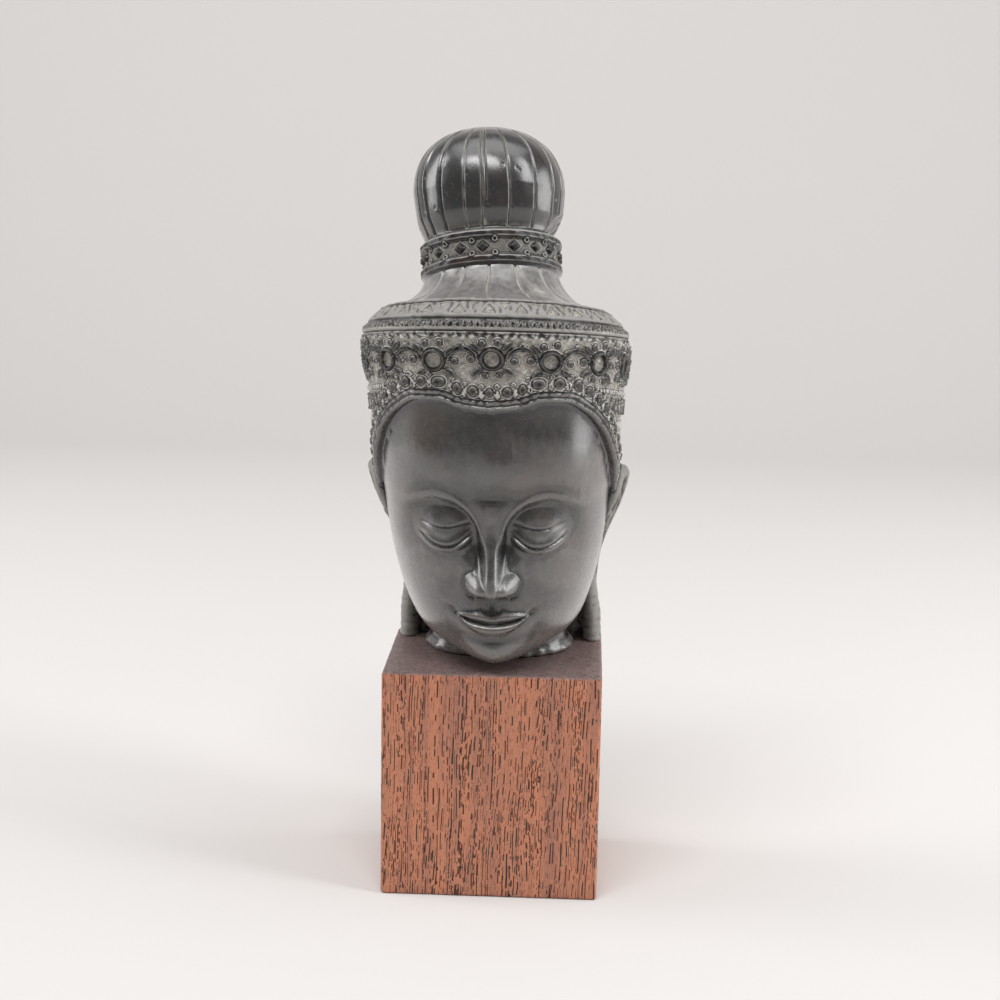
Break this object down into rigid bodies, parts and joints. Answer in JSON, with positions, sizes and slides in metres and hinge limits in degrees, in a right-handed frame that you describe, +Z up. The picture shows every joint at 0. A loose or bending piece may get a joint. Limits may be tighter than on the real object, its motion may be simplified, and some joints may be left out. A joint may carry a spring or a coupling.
{
  "type": "crowned statue head on a wooden block",
  "caption": "Calm crowned head in dark stone with long ear lobes and a fluted topknot, standing on a plain square-cut hardwood block.",
  "frame": {"origin": "middle of the wooden block's underside", "axes": "+Z up, the face looks towards -Y, +X to the right of someone who looks at the face"},
  "size_m": [0.0784, 0.0825, 0.223],
  "materials": {
    "stone": "dark, hand-polished on the high places, pale dust in the recesses",
    "hardwood": "oiled open-pored reddish hardwood, darker on the top"
  },
  "bodies": {
    "root": {"head": "stone", "wooden_block": "hardwood"}
  },
  "joints": []
}
